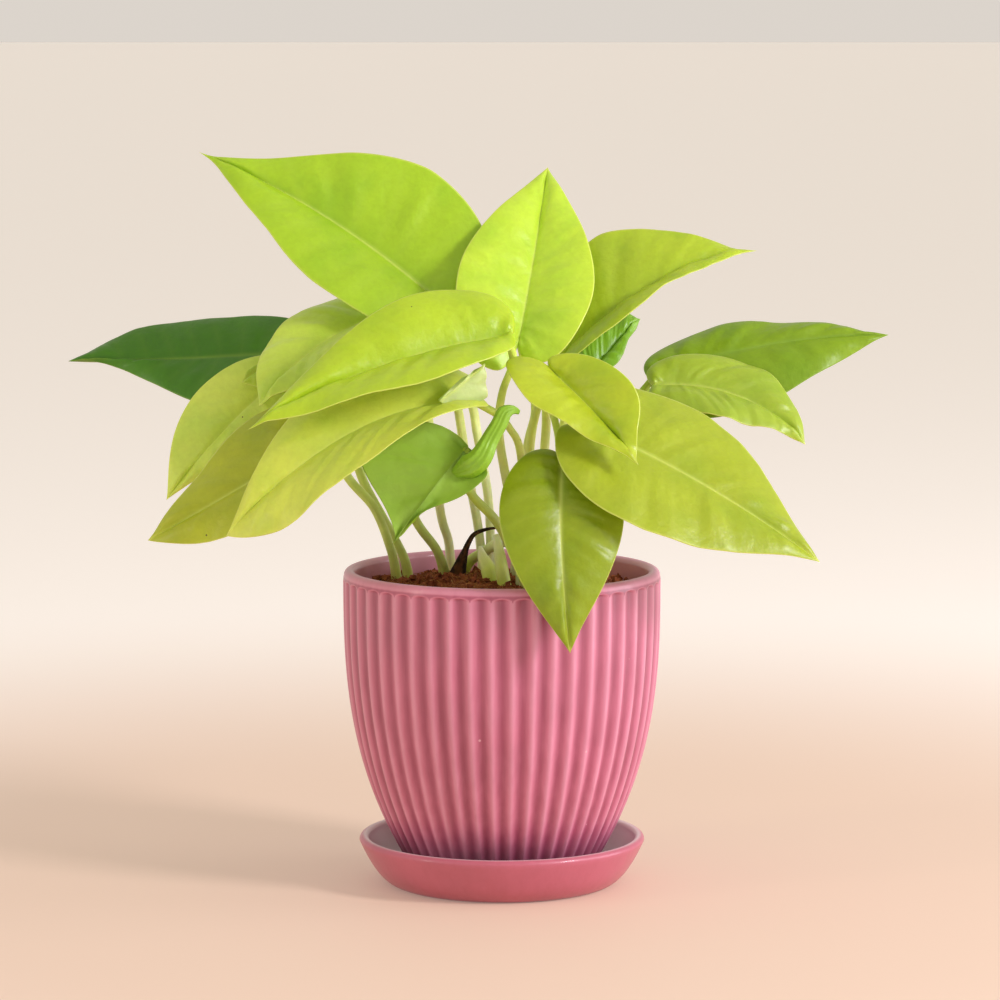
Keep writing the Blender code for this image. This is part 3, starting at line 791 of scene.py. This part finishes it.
def buildBlade(name, look, seed):
    form = bladeForm
    sheet = Sheet(look)
    veins = look.get("veins", 11)
    rows = veins * form["rowsPerVein"]
    bulge = look.get("bulge", 1.6) / 1000
    wave = look.get("wave", 0.7) / 1000
    quilt = look.get("quilt", 0.2) / 1000
    chance = random.Random(seed)
    sway = chance.uniform(0, 2 * math.pi)
    swayCount = chance.uniform(2.2, 3.4)
    shift = Vector((seed * 0.37, seed * 0.11, seed * 0.23))  # so that no two blades are uneven alike
    columns = [(0, a) for a in reversed(form["across"])] + [(0, 0.0)] + [(1, a) for a in form["across"]]
    width = len(columns)
    places, apart = [], []
    for row in range(1, rows):
        step = stepAt(row / rows)
        line = [sheet.point(step, across, side) for side, across in columns]
        places.append([spot for spot, distance in line])
        apart.append([distance for spot, distance in line])
    base, tip = sheet.midrib(0.0), sheet.midrib(1.0)
    tops, bottoms = [base], [base]
    fields = dict(vein=[0.3], midrib=[1.0], margin=[0.0])
    for row, line in enumerate(places):
        share = (row + 1) / rows
        fade = smoothStep(0.0, 0.10, share) * smoothStep(0.0, 0.10, 1 - share)
        lane = (row + 1) / form["rowsPerVein"]
        onVein = 1 - abs((lane + 0.5) % 1 - 0.5) * 2  # 1 on a vein, 0 halfway between two
        for column, spot in enumerate(line):
            ahead = places[min(row + 1, len(places) - 1)][column]
            behind = places[max(row - 1, 0)][column]
            right = line[min(column + 1, width - 1)]
            left = line[max(column - 1, 0)]
            normal = (right - left).cross(ahead - behind)
            if normal.length < 1e-12:
                normal = Vector((0, 0, 1))
            normal.normalize()
            side, across = columns[column]
            distance = apart[row][column] * 1000
            swell = 4 * across * (1 - across)
            lift = bulge * swell
            lift += quilt * swell * (0.5 - onVein)
            lift += wave * math.sin(swayCount * 2 * math.pi * share + sway + side * 1.9) * across ** 2.5
            offRib = min(across * 3, 1)
            lift += noise.noise(spot * 70 + shift) * form["unevenness"] / 1000 * offRib
            # ripples that run out along the veins
            half = seed * 3.1 + side * 7.7  # each half blade has its own
            ripple = noise.noise(Vector((lane * 1.3, across * 0.9, half)))
            ripple += noise.noise(Vector((lane * 3.1, across * 1.8, half + 5.0))) * 0.5
            lift += ripple * form["ripple"] / 1000 * offRib * (1 - 0.7 * across ** 4)
            spot = spot + normal * lift * fade
            taper = 1 - share * 0.7
            channel = math.exp(-(distance / form["channelWidth"]) ** 2) * taper * fade
            keel = math.exp(-(distance / form["keelWidth"]) ** 2) * taper * fade
            thick = form["thickness"] / 2000 * (1 - 0.6 * across ** 10) * (0.4 + 0.6 * fade)
            tops.append(spot + normal * (thick - form["channelDepth"] / 1000 * channel))
            bottoms.append(spot - normal * (thick + form["keelHeight"] / 1000 * keel))
            fields["vein"].append(max(onVein * 2.2 - 1.2, 0.0) * smoothStep(1.0, 0.7, across))
            fields["midrib"].append(math.exp(-(distance / (0.75 * taper + 0.15)) ** 2))
            fields["margin"].append(1.0 if across > 0.99 else 0.0)
    tops.append(tip)
    bottoms.append(tip)
    for key, value in (("vein", 0.0), ("midrib", 1.0), ("margin", 1.0)):
        fields[key].append(value)
    count = len(tops)
    last = count - 1
    faces = []
    for column in range(width - 1):
        faces.append((0, 1 + column, 2 + column)[::-1])
        faces.append((last, last - width + column + 1, last - width + column)[::-1])
    for row in range(rows - 2):
        first = 1 + row * width
        for column in range(width - 1):
            corner = first + column
            faces.append((corner, corner + 1, corner + width + 1, corner + width))
    under = [tuple(count + index for index in reversed(face)) for face in faces]
    rim = [0] + [1 + row * width for row in range(rows - 1)] + [last]
    rim += [1 + row * width + width - 1 for row in range(rows - 2, -1, -1)]
    edge = []
    for index, start in enumerate(rim):
        end = rim[(index + 1) % len(rim)]
        edge.append((start, end, count + end, count + start))
    for key in fields:
        fields[key] = fields[key] * 2
    fields["under"] = [0.0] * count + [1.0] * count
    dark = name in darkBlades
    material = waxyLeaf(f"waxyLeaf_{name}", look, dark)
    addPiece(f"leaf_{name}", tops + bottoms, faces + under + edge, material,
             look.get("nodes", [f"blade_{name}"]), fields)
    return sheet


turnedLobe = dict(  # the base of the low front blade, folded up and seen from beneath
    points=((-22, -55, 75), (-14, -53, 81), (-6, -50, 88), (-14, -53, 83), (-5, -49, 76)),
    lobes=(0.0, 0.0), wide=0.55, full=(1.0, 1.0), sharp=(1.0, 1.0), tint="#C4D48C", bulge=0.6, veins=4,
    nodes=[],  # it stands for no CAD node of its own
)

rolledLobe = dict(  # millimetres: the right lobe of the curled young blade, rolled into a horn
    route=((-20, -52, 48), (-14, -57, 51), (-8, -60, 55), (-4, -58, 62), (-1, -57, 67), (1, -56, 71),
           (4, -55, 72), (6, -54, 71)),
    radii=(0.4, 2.2, 4.4, 3.9, 3.1, 2.9, 2.7, 0.8),
    flat=0.6,
    streaks=9,
    fold=0.06,
    stations=36,
    sides=40,
    tint="#88B428",
)


def ovalReach(look, share, angle):
    # a tube's radius in metres, between the nearest two of its radii
    radii = look["radii"]
    spot = share * (len(radii) - 1)
    low = min(int(spot), len(radii) - 2)
    radius = radii[low] + (radii[low + 1] - radii[low]) * (spot - low)
    fold = look.get("fold", 0.0) * math.sin(look.get("streaks", 0) * angle + 4 * share)
    return radius / 1000 * (math.hypot(math.cos(angle) * look["flat"], math.sin(angle)) + fold)


def buildHorn(look):
    route, _ = smoothRoute([plantPoint(place) for place in look["route"]], look["stations"])
    points, faces, fields = tube(route, look["sides"], functools.partial(ovalReach, look), Vector((0, -1, 0)))
    vein = [max(math.cos(look["streaks"] * 2 * math.pi * place), 0.0) for place in fields["around"]]
    addPiece("leaf_curled_young_horn", points, faces, waxyLeaf("waxyLeaf_horn", look, True),
             fields=dict(vein=vein))


sheets = {}
for number, (bladeName, bladeLook) in enumerate(blades.items()):
    sheets[bladeName] = buildBlade(bladeName, bladeLook, number + 1)
buildBlade("low_front_lobe", turnedLobe, 40)
print("leaves grown")


# Stalks and shoots

# Each stalk's places are in millimetres, from its blade down to the soil
stalks = {
    "top_left": ((-20, 2, 85), (-16, 6, 66), (-13, 12, 45), (-9, 22, 22), (-7, 28, 5)),
    "top_centre": ((10, -10, 79), (12, -8, 67), (9, 0, 51), (5, 16, 6)),
    "top_right": ((23, 14, 62), (19, 18, 32), (16, 24, 5)),
    "dark_left": ((-58, 24, 53), (-51, 22, 37), (-44, 22, 24), (-37, 26, 10), (-35, 28, 4)),
    "dark_back": ((27, 30, 53), (23, 32, 30), (20, 34, 3)),
    "dark_right": ((45, 22, 61), (31, 24, 31), (23, 26, 4)),
    "pale_left": ((-65, 12, 58), (-57, 12, 41), (-47, 12, 29), (-41, 15, 13), (-39, 18, 2)),
    "small_left": ((-28, 0, 70), (-23, 20, 28), (-20, 29, 15), (-19, 34, 4)),
    "hidden_left": ((-30, 16, 90), (-13, 19, 71), (-9, 20, 55), (-5, 22, 31), (-4, 26, 5)),
    "front_left": ((4, -29, 87), (0, -27, 75), (-1, -24, 60), (3, -18, 35), (7, -10, 6)),
    "low_left": ((-38, -16, 50), (-32, -6, 28), (-24, 2, 15), (-21, 10, 4)),
    "low_front": ((-2, -38, 69), (3, -32, 63), (7, -24, 52), (10, -4, 6)),
    "curled_young": ((-14, -43, 47), (-10, -38, 39), (-1, -31, 28), (9, -18, 6)),
    "centre": ((15, -27, 75), (12, -18, 66), (10, -10, 52), (7, 10, 6)),
    "large_right": ((28, -26, 58), (23, -12, 42), (14, 8, 6)),
    "front_hanging": ((20, -36, 61), (18, -28, 69), (16, -20, 72), (16, -8, 60), (14, 4, 33), (11, 18, 5)),
    "small_right": ((41, 10, 60), (28, 10, 32), (19, 14, 5)),
}

greenStalks = ("dark_left", "dark_back", "dark_right", "pale_left", "curled_young", "low_left")

stalkForm = dict(  # millimetres
    radius=1.7,
    topRadius=1.2,
    knee=0.25,
    kneeLength=7.0,
    channel=0.28,
    sheathLength=18.0,
    sheath=0.35,
    buried=3.0,
    stations=44,
    sides=18,
    threads=20,  # on each half of the way round
    # colours from the blade end down to the soil, lifted paler as painted light against the shade under the
    # leaves
    tip="#D8EE58",
    pale="#EAF68C",
    foot="#FAFFDA",
    greenTip="#B4CC48",
    greenPale="#C2D65C",
    greenFoot="#D8E48C",
)


def freshStalk(name, look, green):
    # Fresh leaf stalk, full of water: pale and a little see-through, with fine ribs running along it
    # that catch the light as threads; its colours are lifted paler than its own green, to nearly white at
    # the foot, as painted light against the shade under the leaves
    material, tree, surface = newMaterial(name, 0.4, IOR=1.42, Coat_Weight=0.15, Coat_Roughness=0.25,
                                          Subsurface_Weight=0.5, Subsurface_Scale=0.002,
                                          Subsurface_Radius=(0.8, 1.0, 0.35))
    keys = ("greenTip", "greenPale", "greenFoot") if green else ("tip", "pale", "foot")
    # the stalk's green, lifted paler as painted light against the shade under the leaves
    stops = [(position, linear(look[key])) for position, key in zip((0.0, 0.35, 1.0), keys)]
    colour = colourRamp(tree, readField(tree, "down"), stops)
    # ribs about 0.3 mm apart, drawn as light and dark threads
    turns = 2 * math.pi * look["threads"]
    thread = maths(tree, "SINE", maths(tree, "MULTIPLY", readField(tree, "around"), turns))
    blotch = spread(tree, cloudy(tree, objectPlace(tree), 160.0, 3.0), 0.3, 0.7, 0.88, 1.08)
    shade = maths(tree, "MULTIPLY", spread(tree, thread, -1.0, 1.0, 0.92, 1.04), blotch)
    joinSurface(tree, surface, Base_Color=blend(tree, 1.0, colour, shade, "MULTIPLY"),
                Normal=bump(tree, thread, 0.25, 0.0002))
    return material


def smoothRoute(places, count):
    # a smooth curve through the places, as evenly spaced points, and its length
    chain = [places[0] * 2 - places[1], *places, places[-1] * 2 - places[-2]]
    dense = []
    for index in range(1, len(chain) - 2):
        before, start, end, after = chain[index - 1:index + 3]
        for step in range(16):
            t = step / 16
            dense.append(0.5 * (2 * start + (end - before) * t
                                + (2 * before - 5 * start + 4 * end - after) * t ** 2
                                + (3 * start - before - 3 * end + after) * t ** 3))
    dense.append(places[-1])
    lengths = [0.0]
    for start, end in zip(dense, dense[1:]):
        lengths.append(lengths[-1] + (end - start).length)
    route = []
    low = 0
    for step in range(count):
        target = lengths[-1] * step / (count - 1)
        while low < len(dense) - 2 and lengths[low + 1] < target:
            low += 1
        span = lengths[low + 1] - lengths[low]
        route.append(dense[low].lerp(dense[low + 1], (target - lengths[low]) / span if span else 0.0))
    return route, lengths[-1]


def tube(route, sides, reach, faceUp):
    # a closed tube; reach(share, angle) gives its radius there, and angle 0 looks along faceUp
    points, down, around = [], [], []
    for index, place in enumerate(route):
        share = index / (len(route) - 1)
        along = (route[min(index + 1, len(route) - 1)] - route[max(index - 1, 0)]).normalized()
        faceUp = (faceUp - along * faceUp.dot(along)).normalized()
        sideways = along.cross(faceUp)
        for side in range(sides):
            angle = 2 * math.pi * side / sides
            outward = faceUp * math.cos(angle) + sideways * math.sin(angle)
            points.append(place + outward * reach(share, angle))
            down.append(share)
            around.append(abs(side / sides * 2 - 1))
    faces = ringFaces(len(route), sides, False)
    for end, ring in ((0, list(reversed(range(sides)))), (len(route) - 1, list(range(sides)))):
        centre = len(points)
        points.append(route[end])
        down.append(end / (len(route) - 1))
        around.append(0.5)
        for index, side in enumerate(ring):
            faces.append((end * sides + side, end * sides + ring[(index + 1) % sides], centre))
    return points, faces, dict(down=down, around=around)


def buildStalk(name, sheet, places):
    form = stalkForm
    along = sheet.along(0.0)
    upward = along.cross(sheet.sides[0]).normalized()
    # a little under the blade and past its joint, so that the two run into one another
    top = sheet.base - upward * (form["topRadius"] * 0.55 / 1000) + along * 0.0012
    stops = [top, *(plantPoint(place) for place in places)]
    foot = stops[-1]
    foot.z = soilTop(foot.x, foot.y)
    above = stops[-2]
    # almost upright where it leaves the soil
    stops.insert(-1, Vector((foot.x + (above.x - foot.x) * 0.12, foot.y + (above.y - foot.y) * 0.12,
                             foot.z + (above.z - foot.z) * 0.2)))
    stops.append(foot + Vector((0, 0, -form["buried"] / 1000)))
    route, length = smoothRoute(stops, form["stations"])
    kneeShare = form["kneeLength"] / 1000 / length
    sheathShare = form["sheathLength"] / 1000 / length

    def reach(share, angle):
        radius = form["topRadius"] + (form["radius"] - form["topRadius"]) * smoothStep(0.0, 0.5, share)
        radius += form["knee"] * math.exp(-((share - kneeShare) / (kneeShare * 0.7)) ** 2)
        radius += form["sheath"] * smoothStep(1 - sheathShare, 1.0, share)
        radius -= form["channel"] * math.exp(-(min(angle, 2 * math.pi - angle) / 0.45) ** 2)
        return radius / 1000

    points, faces, fields = tube(route, form["sides"], reach, upward)
    green = name in greenStalks
    addPiece(f"leafstalk_{name}", points, faces, stalkMaterials[green], [f"stalk_{name}"], fields)


stalkMaterials = {
    False: freshStalk("paleStalkPaintedLight", stalkForm, False),
    True: freshStalk("greenStalkPaintedLight", stalkForm, True),
}
for stalkName, stalkPlaces in stalks.items():
    buildStalk(stalkName, sheets[stalkName], stalkPlaces)
print("stalks joined")

shoots = {  # millimetres: route, radii along it, and how flat it is
    "vine_stem": dict(
        route=((-16, 16, 6), (-12, 14, 9), (-7, 10, 13), (-1, 6, 17), (6, 1, 20)),
        radii=(2.4, 2.0, 1.8, 2.2, 1.8), flat=1.0,
    ),
    "dried_sheath": dict(
        route=((-17, 8, 6), (-14, 5, 13), (-12, 3, 18), (-10, 1, 21), (-6, -2, 23), (-2, -5, 24)),
        radii=(3.6, 2.4, 1.2, 0.9, 0.8, 0.5), flat=0.5,
    ),
    "rooted_cutting": dict(
        route=((1, -14, 4), (0, -13, 10), (-1, -11, 16), (-2, -9, 22)),
        radii=(2.6, 2.4, 2.0, 1.2), flat=0.9,
    ),
    "green_bract": dict(
        route=((-4, -8, 5), (-5, -6, 9), (-7, -4, 13), (-8, -3, 17)),
        radii=(2.6, 3.0, 2.2, 0.7), flat=0.75,
    ),
}

shootForm = dict(stations=40, sides=20, faceUp=(0.3, -1.0, 0.4))


def driedSheath(name):
    # Dead leaf sheath, dried on the plant: papery and black-brown, with ridges along it and rusty edges
    material, tree, surface = newMaterial(name, 0.75, IOR=1.4)
    around = readField(tree, "around")
    edge = maths(tree, "MULTIPLY_ADD", around, 0.5, cloudy(tree, objectPlace(tree), 300.0, 5.0))
    stops = [(0.45, linear("#17100C")), (0.85, linear("#2C1C12")), (1.0, linear("#6B4424"))]
    wrinkle = maths(tree, "SINE", maths(tree, "MULTIPLY", around, 80.0))
    joinSurface(tree, surface, Base_Color=colourRamp(tree, edge, stops),
                Normal=bump(tree, wrinkle, 0.5, 0.0004))
    return material


def buildShoot(name, look, material):
    stops = [plantPoint(place) for place in look["route"]]
    stops[0].z = soilTop(stops[0].x, stops[0].y) - 0.001  # rooted a millimetre deep
    route, _ = smoothRoute(stops, shootForm["stations"])
    points, faces, fields = tube(route, shootForm["sides"], functools.partial(ovalReach, look),
                                 Vector(shootForm["faceUp"]))
    addPiece(f"shoot_{name}", points, faces, material, [name], fields)


for shootName, shootLook in shoots.items():
    if shootName == "dried_sheath":
        buildShoot(shootName, shootLook, driedSheath("driedSheath"))
    else:
        buildShoot(shootName, shootLook, stalkMaterials[False])
buildHorn(rolledLobe)
print("shoots added")

bpy.context.view_layer.update()
